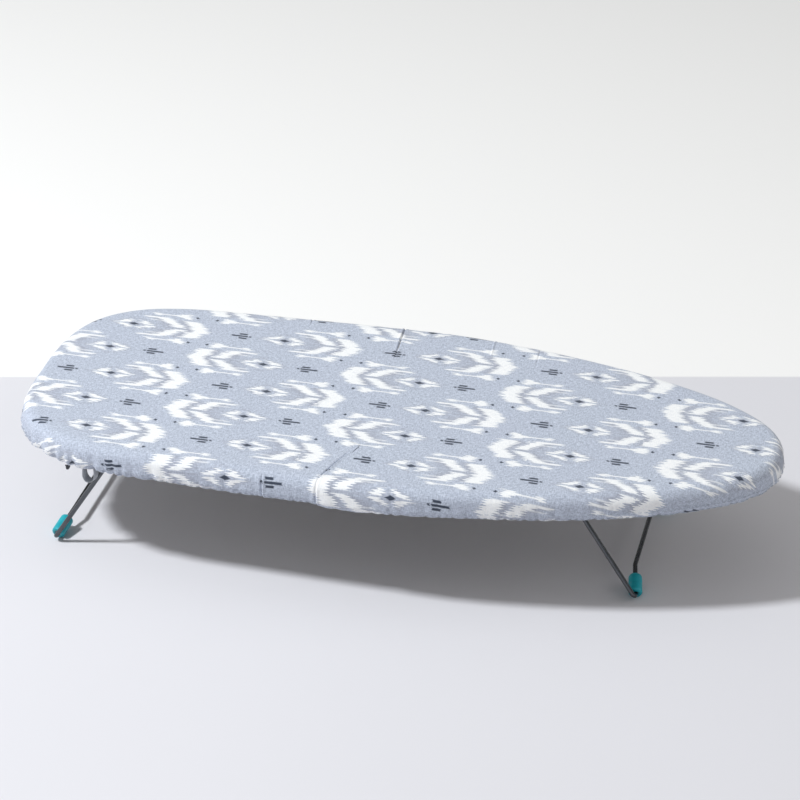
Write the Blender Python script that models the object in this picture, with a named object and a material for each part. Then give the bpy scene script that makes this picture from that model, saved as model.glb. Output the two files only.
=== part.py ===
"""Tabletop ironing board: a padded, fabric-covered top on a steel mesh deck, on two folding wire legs.

Metres, +X towards the narrow nose, +Y across, +Z up. The table is z = 0, and the origin is below the middle
of the top.
"""

import itertools
import math

import bmesh
import bpy
from mathutils import Vector
from mathutils.geometry import delaunay_2d_cdt

MM = 0.001

# The top's outline.
LENGTH = 730 * MM
HALF_WIDTH = 157 * MM
TAIL_HALF_WIDTH = 147 * MM
WIDEST_AT = 370 * MM
TAIL_CORNER_LENGTH = 165 * MM
TAIL_CORNER_POWERS = (3.0, 3.1)
NOSE_LENGTH = 360 * MM
NOSE_POWERS = (1.5, 2.2)
AROUND = 76

# The stack of the top, from its ironing surface down to the hem.
TOP_Z = 130 * MM
COVER_THICKNESS = 1.0 * MM
RIM_ROUNDING = 11 * MM
HEM_Z = 102 * MM
DECK_Z = (120.3 * MM, 121.3 * MM)
PAD_Z = (121.6 * MM, 128.7 * MM)
TUBE_RADIUS = 8 * MM
TUBE_INSET = 9.3 * MM
TUBE_Z = 112 * MM

# The deck's holes.
HOLE_PITCH = (46 * MM, 40 * MM)
HOLE_RADIUS = 13 * MM
DECK_MARGIN = 40 * MM

# The wire legs.
WIRE_RADIUS = 2.25 * MM
PIVOT_Z = 104 * MM
LEAN_DEG = 32.6
LEG_REACH = 118.83 * MM
CORNER_BEND = 4.2 * MM
BAR_BEND = 8 * MM
FOOT_RUN = 40 * MM
FOOT_RISE = 13.7 * MM
STUB_END_INSET = 16 * MM
WIDE_PIVOT_X = -254.5 * MM
NOSE_PIVOT_X = 181.5 * MM
WIDE_HALF_SPREAD = 118 * MM
NOSE_HALF_SPREAD = 90 * MM

# The plastic foot sleeves.
SLEEVE_RADIUS = 6.5 * MM
SLEEVE_LENGTH = 22 * MM
SLEEVE_START = 6.3 * MM
SLEEVE_BORE = 2.6 * MM

# The steel braces and the leg brackets below the deck.
BRACE_WIDTH = 24 * MM
BRACE_Z = (118 * MM, 120 * MM)
BRACE_TAB = 12 * MM
BRACKET_SHEET = 2 * MM
BRACKET_GAP = 0.3 * MM
LUG_INSET = 9 * MM
LUG_BOTTOM = 93.5 * MM
PIVOT_HOLE = 2.55 * MM
RIVET_RADIUS = 3.2 * MM

# The hanging loop and the cord knot on the hem.
LOOP_AT = (-272 * MM, -126 * MM, 101.2 * MM)
LOOP_DROP = 20 * MM
LOOP_SPREAD = 9 * MM
LOOP_TAPE = (8 * MM, 1.0 * MM)
KNOT_AT = (-297 * MM, -130.5 * MM, 99.2 * MM)


def clear_scene():
    for obj in list(bpy.data.objects):
        bpy.data.objects.remove(obj, do_unlink=True)
    for mesh in list(bpy.data.meshes):
        bpy.data.meshes.remove(mesh)


def material(name, color, metallic, roughness):
    made = bpy.data.materials.new(name)
    made.use_nodes = True
    shader = made.node_tree.nodes["Principled BSDF"]
    shader.inputs["Base Color"].default_value = (*color, 1.0)
    shader.inputs["Metallic"].default_value = metallic
    shader.inputs["Roughness"].default_value = roughness
    return made


def finish(name, bm, look, origin=(0, 0, 0), smooth=True, hidden=False):
    """Makes the object of a closed bmesh, with its origin at the given point."""
    bmesh.ops.recalc_face_normals(bm, faces=bm.faces)
    if bm.calc_volume(signed=True) < 0:
        bmesh.ops.reverse_faces(bm, faces=bm.faces)
    bmesh.ops.translate(bm, vec=-Vector(origin), verts=bm.verts)
    mesh = bpy.data.meshes.new(name)
    bm.to_mesh(mesh)
    bm.free()
    for face in mesh.polygons:
        face.use_smooth = smooth
    obj = bpy.data.objects.new(name, mesh)
    obj.location = origin
    if look:
        mesh.materials.append(look)
    bpy.context.scene.collection.objects.link(obj)
    if hidden:
        obj.hide_render = True
        obj.display_type = "WIRE"
    return obj


def half_width(x):
    """The outline's half width at x from the wide end."""
    rise = min(x / WIDEST_AT, 1.0)
    base = TAIL_HALF_WIDTH + (HALF_WIDTH - TAIL_HALF_WIDTH) * rise * rise * (3.0 - 2.0 * rise)
    tail = max(0.0, 1.0 - x / TAIL_CORNER_LENGTH) ** TAIL_CORNER_POWERS[0]
    nose = max(0.0, (x - (LENGTH - NOSE_LENGTH)) / NOSE_LENGTH) ** NOSE_POWERS[0]
    base *= max(0.0, 1.0 - tail) ** (1.0 / TAIL_CORNER_POWERS[1])
    return base * max(0.0, 1.0 - nose) ** (1.0 / NOSE_POWERS[1])


def dense_outline():
    steps = 720
    side = []
    for k in range(steps + 1):
        x = LENGTH * (0.5 - 0.5 * math.cos(math.pi * k / steps))
        side.append(Vector((x - LENGTH / 2, half_width(x))))
    near = [Vector((p.x, -p.y)) for p in side]
    return near + side[-2:0:-1]


def spaced_outline(count):
    """Evenly spaced points around the top, anticlockwise from the middle of the wide end, with their outward
    normals."""
    dense = dense_outline()
    lengths = [0.0]
    for k in range(len(dense)):
        lengths.append(lengths[-1] + (dense[(k + 1) % len(dense)] - dense[k]).length)
    points = []
    j = 0
    for k in range(count):
        at = lengths[-1] * k / count
        while lengths[j + 1] < at:
            j += 1
        share = (at - lengths[j]) / (lengths[j + 1] - lengths[j])
        points.append(dense[j].lerp(dense[(j + 1) % len(dense)], share))
    normals = []
    for k in range(count):
        along = points[(k + 1) % count] - points[k - 1]
        normals.append(Vector((along.y, -along.x)).normalized())
    return points, normals


OUTLINE, NORMALS = spaced_outline(AROUND)


def rings_of(bm, profile):
    """One ring of points around the top for each (inset, z) of the profile."""
    rings = []
    for inset, z in profile:
        ring = [bm.verts.new((*(p - n * inset), z)) for p, n in zip(OUTLINE, NORMALS)]
        rings.append(ring)
    return rings


def bridge(bm, first, second):
    count = len(first)
    for k in range(count):
        m = (k + 1) % count
        bm.faces.new((first[k], first[m], second[m], second[k]))


def ring_body(profile, closed):
    """A body swept round the top's edge: a tube when closed, otherwise one capped flat at both ends."""
    bm = bmesh.new()
    rings = rings_of(bm, profile)
    for a, b in zip(rings, rings[1:]):
        bridge(bm, a, b)
    if closed:
        bridge(bm, rings[-1], rings[0])
    else:
        bm.faces.new(rings[0])
        bm.faces.new(list(reversed(rings[-1])))
    return bm


# The curl of the cover's hem below the rim, as millimetres of (inset, z), outside and inside.
HEM_CURL_OUTSIDE = ((0.0, 110.0), (0.9, 106.2), (3.2, 103.4), (7.0, 102.1), (13.0, 102.0))
HEM_CURL_INSIDE = ((13.0, 103.0), (7.2, 103.1), (3.9, 104.2), (1.8, 106.6), (1.0, 110.0))


def in_metres(profile):
    return [(inset * MM, z * MM) for inset, z in profile]


def rim_arc(radius, turns):
    """The rounding of the cover at a radius from its centre, at turns in degrees from straight up."""
    centre = (RIM_ROUNDING, TOP_Z - RIM_ROUNDING)
    angles = [math.radians(turn) for turn in turns]
    return [(centre[0] - radius * math.sin(a), centre[1] + radius * math.cos(a)) for a in angles]


def make_cover(look):
    outer = rim_arc(RIM_ROUNDING, (0, 30, 60, 90)) + in_metres(HEM_CURL_OUTSIDE)
    inner = in_metres(HEM_CURL_INSIDE) + rim_arc(RIM_ROUNDING - COVER_THICKNESS, (90, 60, 30, 0))
    finish("fabric_cover", ring_body(outer + inner, closed=False), look)


def make_pad(look):
    low, high = PAD_Z
    profile = [(2.3 * MM, low), (3.0 * MM, 124.0 * MM), (6.4 * MM, 127.2 * MM), (11 * MM, high)]
    finish("foam_pad", ring_body(profile, closed=False), look)


def hole_centres():
    """Staggered rows of hole centres that keep the deck's margin."""
    centres = []
    across = int(HALF_WIDTH / HOLE_PITCH[1]) + 1
    along = int(LENGTH / 2 / HOLE_PITCH[0]) + 1
    for row in range(-across, across + 1):
        for column in range(-along, along + 1):
            x = (column + 0.5 * (row % 2)) * HOLE_PITCH[0]
            y = row * HOLE_PITCH[1]
            reach = x + LENGTH / 2
            if not 0 < reach < LENGTH:
                continue
            if abs(y) < half_width(reach) - DECK_MARGIN and inside_by_margin(x, y):
                centres.append(Vector((x, y)))
    return centres


def inside_by_margin(x, y):
    return all((Vector((x, y)) - p).length > DECK_MARGIN - 8 * MM for p in OUTLINE)


def make_deck(look):
    """A thin plate with six-sided holes, on top of the rim tube."""
    points = [p - n * 2.2 * MM for p, n in zip(OUTLINE, NORMALS)]
    edges = [(k, (k + 1) % AROUND) for k in range(AROUND)]
    centres = hole_centres()
    for centre in centres:
        start = len(points)
        for k in range(6):
            turn = math.radians(60 * k + 30)
            points.append(centre + HOLE_RADIUS * Vector((math.cos(turn), math.sin(turn))))
            edges.append((start + k, start + (k + 1) % 6))
    found = delaunay_2d_cdt(points, edges, [], 1, 1e-7)
    flat, triangles = found[0], found[2]
    kept = []
    for triangle in triangles:
        middle = sum((flat[k] for k in triangle), Vector((0, 0))) / 3
        if all((middle - c).length > HOLE_RADIUS * 0.87 or not in_hexagon(middle - c) for c in centres):
            kept.append(triangle)
    bm = bmesh.new()
    low = [bm.verts.new((*p, DECK_Z[0])) for p in flat]
    high = [bm.verts.new((*p, DECK_Z[1])) for p in flat]
    uses = {}
    for a, b, c in kept:
        bm.faces.new((high[a], high[b], high[c]))
        bm.faces.new((low[c], low[b], low[a]))
        for edge in ((a, b), (b, c), (c, a)):
            uses[edge] = True
    for a, b in uses:
        if (b, a) not in uses:
            bm.faces.new((high[b], high[a], low[a], low[b]))
    for vert in [v for v in bm.verts if not v.link_faces]:
        bm.verts.remove(vert)
    finish("top_mesh", bm, look, smooth=False)


def in_hexagon(v):
    """Whether v is inside a six-sided hole whose corners point along Y."""
    inner = HOLE_RADIUS * math.cos(math.radians(30))
    facings = (0, math.pi / 3, 2 * math.pi / 3)
    return all(abs(v.x * math.cos(t) + v.y * math.sin(t)) < inner for t in facings)


def circle_profile(inset, z, radius, sides):
    turns = [2 * math.pi * (k + 0.5) / sides for k in range(sides)]
    return [(inset + radius * math.cos(t), z + radius * math.sin(t)) for t in turns]


def make_rim_tube(look):
    profile = circle_profile(TUBE_INSET, TUBE_Z, TUBE_RADIUS, 8)
    finish("rim_tube", ring_body(profile, closed=True), look)


# The section of the elastic band, just inside the hem, as millimetres of (inset, z).
ELASTIC_SECTION = ((13.3, 102.0), (16.6, 102.4), (16.6, 103.6), (13.3, 103.4))


def make_hem_elastic(look):
    finish("hem_elastic", ring_body(in_metres(ELASTIC_SECTION), closed=True), look)


def box(bm, low, high):
    places = itertools.product(*zip(low, high))
    corners = [bm.verts.new(place) for place in places]
    for face in ((0, 1, 3, 2), (4, 6, 7, 5), (0, 4, 5, 1), (2, 3, 7, 6), (0, 2, 6, 4), (1, 5, 7, 3)):
        bm.faces.new([corners[k] for k in face])
    return corners


def make_brace(name, x, look):
    """A flat cross strap below the deck, with its ends bent down inside the rim tube."""
    half = BRACE_WIDTH / 2
    inside = min(half_width(x - half + LENGTH / 2), half_width(x + half + LENGTH / 2))
    end = inside - TUBE_INSET - TUBE_RADIUS - 1.2 * MM
    sheet = BRACE_Z[1] - BRACE_Z[0]
    low = BRACE_Z[1] - BRACE_TAB
    section = [(-end, low), (-end, BRACE_Z[1]), (end, BRACE_Z[1]), (end, low)]
    section += [(end - sheet, low), (end - sheet, BRACE_Z[0])]
    section += [(-end + sheet, BRACE_Z[0]), (-end + sheet, low)]
    bm = bmesh.new()
    back = [bm.verts.new((x - half, y, z)) for y, z in section]
    front = [bm.verts.new((x + half, y, z)) for y, z in section]
    bridge(bm, back, front)
    bm.faces.new(back)
    bm.faces.new(list(reversed(front)))
    finish(name, bm, look, smooth=False)


def boolean(obj, other, operation):
    cut = obj.modifiers.new(operation.lower(), "BOOLEAN")
    cut.operation = operation
    cut.solver = "EXACT"
    cut.object = other


def make_bracket(name, pivot_x, outboard, spread, side, look):
    """A bent steel lug that holds one end of a leg wire, with a tab that stops the open leg."""
    outer = spread - LUG_INSET + BRACKET_SHEET
    inner = outer - BRACKET_SHEET
    top = BRACE_Z[0] - BRACKET_GAP
    back, front = pivot_x + outboard * 14 * MM, pivot_x - outboard * 10 * MM
    low_x, high_x = min(back, front), max(back, front)
    ys = sorted((side * inner, side * outer))
    lug = bmesh.new()
    box(lug, (low_x, ys[0], LUG_BOTTOM), (high_x, ys[1], top))
    body = finish(name, lug, look, smooth=False)
    flange = bmesh.new()
    ys = sorted((side * (inner - 16 * MM), side * outer))
    box(flange, (low_x, ys[0], top - BRACKET_SHEET), (high_x, ys[1], top))
    boolean(body, finish(name + ".flange", flange, None, smooth=False, hidden=True), "UNION")
    boolean(body, make_stop(name, pivot_x, outboard, spread, side), "UNION")
    bore = bmesh.new()
    bmesh.ops.create_cone(
        bore, cap_ends=True, segments=16, radius1=PIVOT_HOLE, radius2=PIVOT_HOLE, depth=8 * MM
    )
    for v in bore.verts:
        v.co = Vector((v.co.x, v.co.z, v.co.y)) + Vector((pivot_x, side * (inner + outer) / 2, PIVOT_Z))
    boolean(body, finish(name + ".bore", bore, None, hidden=True), "DIFFERENCE")


def leg_direction(outboard):
    lean = math.radians(LEAN_DEG)
    return Vector((outboard * math.sin(lean), 0, -math.cos(lean)))


def make_stop(name, pivot_x, outboard, spread, side):
    """The bracket's tab, just outboard of the open leg."""
    down = leg_direction(outboard)
    away = Vector((outboard * math.cos(math.radians(LEAN_DEG)), 0, math.sin(math.radians(LEAN_DEG))))
    pivot = Vector((pivot_x, 0, PIVOT_Z))
    ys = sorted((side * (spread - LUG_INSET + 0.5 * MM), side * (spread + 3 * MM)))
    bm = bmesh.new()
    clear = WIRE_RADIUS + 0.3 * MM
    corners = box(bm, (4 * MM, ys[0], clear), (10.5 * MM, ys[1], clear + BRACKET_SHEET))
    for v in corners:
        v.co = pivot + down * v.co.x + away * v.co.z + Vector((0, v.co.y, 0))
    return finish(name + ".stop", bm, None, smooth=False, hidden=True)


def make_rivet(name, x, y, look):
    """A domed rivet head below a bracket's flange."""
    top = BRACE_Z[0] - 2 * BRACKET_GAP - BRACKET_SHEET
    bm = bmesh.new()
    rings = []
    turns = [2 * math.pi * k / 10 for k in range(10)]
    for share, drop in ((1.0, 0.0), (0.9, 0.9 * MM), (0.5, 1.7 * MM)):
        radius = RIVET_RADIUS * share
        places = [(x + radius * math.cos(t), y + radius * math.sin(t), top - drop) for t in turns]
        rings.append([bm.verts.new(place) for place in places])
    bridge(bm, rings[0], rings[1])
    bridge(bm, rings[1], rings[2])
    bm.faces.new(rings[0])
    bm.faces.new(list(reversed(rings[2])))
    finish(name, bm, look)


def rounded_path(corners, bends, steps):
    """The polyline through the corners, with each inner one replaced by an arc of its bend radius."""
    path = [corners[0]]
    for k in range(1, len(corners) - 1):
        before = (corners[k - 1] - corners[k]).normalized()
        after = (corners[k + 1] - corners[k]).normalized()
        half = before.angle(after) / 2
        centre = corners[k] + (before + after).normalized() * bends[k - 1] / math.sin(half)
        reach = bends[k - 1] / math.tan(half)
        first = corners[k] + before * reach - centre
        last = corners[k] + after * reach - centre
        for j in range(steps + 1):
            path.append(centre + first.normalized().slerp(last.normalized(), j / steps) * first.length)
    path.append(corners[-1])
    return path


def sweep(path, normal, radius, sides):
    """A round rod along a path that lies in one plane, whose normal is given."""
    bm = bmesh.new()
    rings = []
    for k, point in enumerate(path):
        before = (point - path[k - 1]).normalized() if k else None
        after = (path[k + 1] - point).normalized() if k + 1 < len(path) else None
        along = ((before or after) + (after or before)).normalized()
        across = along.cross(normal).normalized()
        stretch = 1.0 / max(0.5, along.dot(before or after))
        ring = []
        for j in range(sides):
            turn = 2 * math.pi * (j + 0.5) / sides
            offset = across * (radius * stretch * math.cos(turn)) + normal * (radius * math.sin(turn))
            ring.append(bm.verts.new(point + offset))
        rings.append(ring)
    for a, b in zip(rings, rings[1:]):
        bridge(bm, a, b)
    bm.faces.new(rings[0])
    bm.faces.new(list(reversed(rings[-1])))
    return bm


def leg_corners(pivot_x, outboard, spread):
    """The corners of one leg's wire, from one stub to the other."""
    pivot = Vector((pivot_x, 0, PIVOT_Z))
    down = leg_direction(outboard)
    half = [(spread - STUB_END_INSET, 0), (spread, 0), (spread, LEG_REACH)]
    half.append((spread - FOOT_RUN, LEG_REACH - FOOT_RISE))
    near = [pivot + down * s + Vector((0, -y, 0)) for y, s in half]
    far = [pivot + down * s + Vector((0, y, 0)) for y, s in reversed(half)]
    return near + far


def make_leg(name, pivot_x, outboard, spread, look):
    corners = leg_corners(pivot_x, outboard, spread)
    bends = [5 * MM, CORNER_BEND, BAR_BEND, BAR_BEND, CORNER_BEND, 5 * MM]
    path = rounded_path(corners, bends, 4)
    normal = leg_direction(outboard).cross(Vector((0, 1, 0))).normalized()
    finish(name, sweep(path, normal, WIRE_RADIUS, 10), look, origin=(pivot_x, 0, PIVOT_Z))


def make_sleeve(name, pivot_x, outboard, spread, side, look):
    """A round plastic sleeve on the sloping foot of the leg wire."""
    corners = leg_corners(pivot_x, outboard, spread)
    foot, bar = (corners[2], corners[3]) if side < 0 else (corners[5], corners[4])
    along = (bar - foot).normalized()
    normal = leg_direction(outboard).cross(Vector((0, 1, 0))).normalized()
    across = along.cross(normal).normalized()
    r, b, end = SLEEVE_RADIUS, SLEEVE_BORE, SLEEVE_LENGTH
    profile = [(b, 0), (r - 1.6 * MM, 0), (r - 0.4 * MM, 0.7 * MM), (r, 2.2 * MM), (r, end - 2.6 * MM)]
    profile += [(r - 0.7 * MM, end - 0.9 * MM), (r - 2.2 * MM, end), (b, end)]
    bm = bmesh.new()
    rings = []
    for radius, at in profile:
        ring = []
        for k in range(14):
            turn = 2 * math.pi * k / 14
            offset = across * (radius * math.cos(turn)) + normal * (radius * math.sin(turn))
            ring.append(bm.verts.new(foot + along * (SLEEVE_START + at) + offset))
        rings.append(ring)
    for first, second in zip(rings, rings[1:] + rings[:1]):
        bridge(bm, first, second)
    finish(name, bm, look, origin=(pivot_x, 0, PIVOT_Z))


def make_hem_loop(look):
    """A flat tape loop that hangs from the hem."""
    bm = bmesh.new()
    width, thick = LOOP_TAPE
    rings = []
    for k in range(17):
        turn = math.radians(-55 + 290 * k / 16)
        out = Vector((math.sin(turn - math.pi / 2), 0, -math.cos(turn - math.pi / 2)))
        centre = Vector(LOOP_AT) - Vector((0, 0, LOOP_DROP / 2))
        ring = []
        for side, layer in ((-1, -1), (1, -1), (1, 1), (-1, 1)):
            point = centre + Vector((out.x * (LOOP_SPREAD + layer * thick / 2), 0, 0))
            point += Vector((0, side * width / 2, out.z * (LOOP_DROP / 2 + layer * thick / 2)))
            ring.append(bm.verts.new(point))
        rings.append(ring)
    for a, b in zip(rings, rings[1:]):
        bridge(bm, a, b)
    bm.faces.new(rings[0])
    bm.faces.new(list(reversed(rings[-1])))
    finish("hem_loop", bm, look)


def make_knot(look):
    bm = bmesh.new()
    bmesh.ops.create_icosphere(bm, subdivisions=2, radius=1.0)
    for v in bm.verts:
        v.co = Vector((v.co.x * 2.6 * MM, v.co.y * 2.2 * MM, v.co.z * 2.6 * MM)) + Vector(KNOT_AT)
    finish("hem_cord_knot", bm, look)


def make_leg_set(label, pivot_x, outboard, spread, wire, zinc, plastic):
    make_leg(f"leg_wire_{label}", pivot_x, outboard, spread, wire)
    for side, where in ((-1, "near"), (1, "far")):
        make_sleeve(f"foot_sleeve_{label}_{where}", pivot_x, outboard, spread, side, plastic)
        make_bracket(f"leg_bracket_{label}_{where}", pivot_x, outboard, spread, side, zinc)
        y = side * (spread - LUG_INSET - 8 * MM)
        for k, offset in enumerate((-6 * MM, 6 * MM)):
            x = pivot_x + outboard * 2 * MM + offset
            make_rivet(f"rivet_{label}_{where}_{k + 1}", x, y, zinc)


def main():
    clear_scene()
    cotton = material("cover_cotton", (0.62, 0.63, 0.70), 0.0, 0.9)
    foam = material("pad_foam", (0.86, 0.84, 0.78), 0.0, 0.95)
    deck = material("deck_steel", (0.62, 0.63, 0.64), 1.0, 0.42)
    tube = material("rim_steel", (0.70, 0.70, 0.70), 0.9, 0.4)
    wire = material("leg_steel", (0.45, 0.46, 0.47), 1.0, 0.32)
    zinc = material("bracket_zinc", (0.66, 0.67, 0.68), 1.0, 0.38)
    plastic = material("sleeve_plastic", (0.0, 0.42, 0.46), 0.0, 0.42)
    elastic = material("hem_elastic", (0.78, 0.78, 0.78), 0.0, 0.9)
    tape = material("loop_tape", (0.66, 0.68, 0.70), 0.0, 0.85)
    cord = material("knot_cord", (0.10, 0.10, 0.11), 0.0, 0.85)
    make_cover(cotton)
    make_pad(foam)
    make_deck(deck)
    make_rim_tube(tube)
    make_hem_elastic(elastic)
    make_brace("cross_brace_wide", WIDE_PIVOT_X, zinc)
    make_brace("cross_brace_middle", 0.0, zinc)
    make_brace("cross_brace_nose", NOSE_PIVOT_X, zinc)
    make_leg_set("wide", WIDE_PIVOT_X, -1, WIDE_HALF_SPREAD, wire, zinc, plastic)
    make_leg_set("nose", NOSE_PIVOT_X, 1, NOSE_HALF_SPREAD, wire, zinc, plastic)
    make_hem_loop(tape)
    make_knot(cord)


main()
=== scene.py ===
"""The looks of a tabletop ironing board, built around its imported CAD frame."""

import math

import bmesh
import bpy
from mathutils import Matrix, Vector, noise


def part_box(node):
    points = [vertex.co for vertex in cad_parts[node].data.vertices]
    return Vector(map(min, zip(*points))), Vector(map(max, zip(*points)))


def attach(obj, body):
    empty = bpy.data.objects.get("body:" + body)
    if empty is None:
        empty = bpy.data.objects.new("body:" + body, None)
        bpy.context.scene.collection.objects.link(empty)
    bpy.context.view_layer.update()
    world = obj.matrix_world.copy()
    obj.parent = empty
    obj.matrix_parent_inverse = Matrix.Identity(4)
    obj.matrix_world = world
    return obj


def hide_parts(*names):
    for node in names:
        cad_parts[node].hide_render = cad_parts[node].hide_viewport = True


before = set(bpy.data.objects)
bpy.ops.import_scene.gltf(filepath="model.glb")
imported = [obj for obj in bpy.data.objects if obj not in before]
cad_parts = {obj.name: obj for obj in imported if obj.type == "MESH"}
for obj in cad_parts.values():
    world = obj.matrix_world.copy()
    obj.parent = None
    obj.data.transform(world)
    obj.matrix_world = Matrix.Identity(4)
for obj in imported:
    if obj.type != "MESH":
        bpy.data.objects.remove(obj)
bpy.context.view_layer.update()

MM = 0.001
UP = Vector((0, 0, 1))
COVER_LOW, COVER_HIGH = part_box("fabric_cover")
LENGTH = COVER_HIGH.x - COVER_LOW.x
TAIL_X = COVER_LOW.x
TOP_Z = COVER_HIGH.z
HEM_Z = COVER_LOW.z

# The top's outline, as the CAD draws it.
HALF_WIDTH = 157 * MM
TAIL_HALF_WIDTH = 147 * MM
WIDEST_AT = 370 * MM
TAIL_CORNER_LENGTH = 165 * MM
TAIL_CORNER_POWERS = (3.0, 3.1)
NOSE_LENGTH = 360 * MM
NOSE_POWERS = (1.5, 2.2)
RIM_ROUNDING = 11 * MM

# The print's repeat along and across the top, where it starts in repeats, and how far its rows lean.
REPEAT = (157.9 * MM, 102 * MM)
PRINT_START = (-0.457, 0.945)
PRINT_SKEW = 0.099
# In repeats: where a motif's cell starts, the mirror of the motifs that point back, the width of a bundle
# of yarns, and the softness of an edge.
CELL_START = 0.35
MIRROR = (0.918, 0.5)
YARN_BUNDLE = 0.0245
PRINT_EDGE = 0.007

# The wire legs, as the CAD draws them.
WIRE_RADIUS = 2.25 * MM
LEG_REACH = 118.83 * MM
LEAN = math.radians(32.6)
FOOT_RUN = 40 * MM
FOOT_RISE = 13.7 * MM
STUB_END_INSET = 16 * MM
PIVOT_Z = 104 * MM
LEGS = {
    "wide": {"pivot_x": -254.5 * MM, "outboard": -1, "spread": 118 * MM},
    "nose": {"pivot_x": 181.5 * MM, "outboard": 1, "spread": 90 * MM},
}


# ---- shader tools


def linear(r, g, b):
    """A colour given as 0 to 255 display values, as linear values."""
    def one(c):
        c /= 255
        return c / 12.92 if c <= 0.04045 else ((c + 0.055) / 1.055) ** 2.4
    return (one(r), one(g), one(b), 1.0)


def feed(socket, value):
    """Links a shader value to a node's input, or sets a plain one on it."""
    value = value.socket if isinstance(value, Num) else value
    if isinstance(value, bpy.types.NodeSocket):
        socket.id_data.links.new(value, socket)
    else:
        socket.default_value = value


class Num:
    """A shader value. Calculating with it adds Math nodes."""

    def __init__(self, socket):
        self.socket = socket

    def op(self, kind, *others, clamp=False):
        node = self.socket.id_data.nodes.new("ShaderNodeMath")
        node.operation = kind
        node.use_clamp = clamp
        for socket, value in zip(node.inputs, (self, *others)):
            feed(socket, value)
        return Num(node.outputs[0])

    def __add__(self, other):
        return self.op("ADD", other)

    def __sub__(self, other):
        return self.op("SUBTRACT", other)

    def __mul__(self, other):
        return self.op("MULTIPLY", other)

    def __truediv__(self, other):
        return self.op("DIVIDE", other)

    def __abs__(self):
        return self.op("ABSOLUTE")

    def flip(self, whole=1.0):
        """whole minus this value."""
        return self.op("MULTIPLY_ADD", -1.0, whole)

    def both(self, *others):
        found = self
        for other in others:
            found = found.op("MINIMUM", other)
        return found

    def either(self, *others):
        found = self
        for other in others:
            found = found.op("MAXIMUM", other)
        return found

    def above(self, edge, soft):
        """1 where this value is over edge, 0 below it, over a soft border."""
        return (self - edge).op("MULTIPLY_ADD", 1 / soft, 0.5, clamp=True)

    def below(self, edge, soft):
        return (self - edge).op("MULTIPLY_ADD", -1 / soft, 0.5, clamp=True)

    def within(self, low, high, soft):
        return self.above(low, soft).both(self.below(high, soft))


class Look:
    """A material under construction."""

    def __init__(self, name, roughness, metallic=0.0):
        self.material = bpy.data.materials.new(name)
        self.material.use_nodes = True
        self.tree = self.material.node_tree
        self.shader = self.tree.nodes["Principled BSDF"]
        self.shader.inputs["Roughness"].default_value = roughness
        self.shader.inputs["Metallic"].default_value = metallic

    def set(self, **values):
        for name, value in values.items():
            self.shader.inputs[name.replace("_", " ")].default_value = value
        return self

    def new(self, kind, **inputs):
        node = self.tree.nodes.new(kind)
        for name, value in inputs.items():
            feed(node.inputs[name.replace("_", " ")], value)
        return node

    def coordinates(self, source="Object"):
        return self.tree.nodes.new("ShaderNodeTexCoord").outputs[source]

    def x_and_y(self, source="Object"):
        parts = self.new("ShaderNodeSeparateXYZ", Vector=self.coordinates(source))
        return Num(parts.outputs["X"]), Num(parts.outputs["Y"])

    def stretched(self, scale, source="Object"):
        """Coordinates scaled by a different number along each axis."""
        node = self.new("ShaderNodeMapping", Vector=self.coordinates(source))
        node.inputs["Scale"].default_value = scale
        return node.outputs["Vector"]

    def noise(self, vector, scale, detail=2.0, roughness=0.5):
        node = self.new("ShaderNodeTexNoise", Vector=vector, Scale=scale, Detail=detail, Roughness=roughness)
        return Num(node.outputs["Fac"])

    def mix(self, share, first, second):
        """A colour between first and second."""
        node = self.tree.nodes.new("ShaderNodeMix")
        node.data_type = "RGBA"  # its two colours are then inputs 6 and 7
        for place, value in ((0, share), (6, first), (7, second)):
            feed(node.inputs[place], value)
        return node.outputs[2]

    def color(self, value):
        feed(self.shader.inputs["Base Color"], value)
        return self

    def rough(self, low, high, value):
        feed(self.shader.inputs["Roughness"], value * (high - low) + low)
        return self

    def bump(self, *layers):
        """Bump layers, each (height, distance in metres, strength)."""
        normal = None
        for height, distance, strength in layers:
            node = self.new("ShaderNodeBump", Height=height, Distance=distance, Strength=strength)
            if normal:
                feed(node.inputs["Normal"], normal)
            normal = node.outputs["Normal"]
        feed(self.shader.inputs["Normal"], normal)
        return self


# ---- materials


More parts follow.
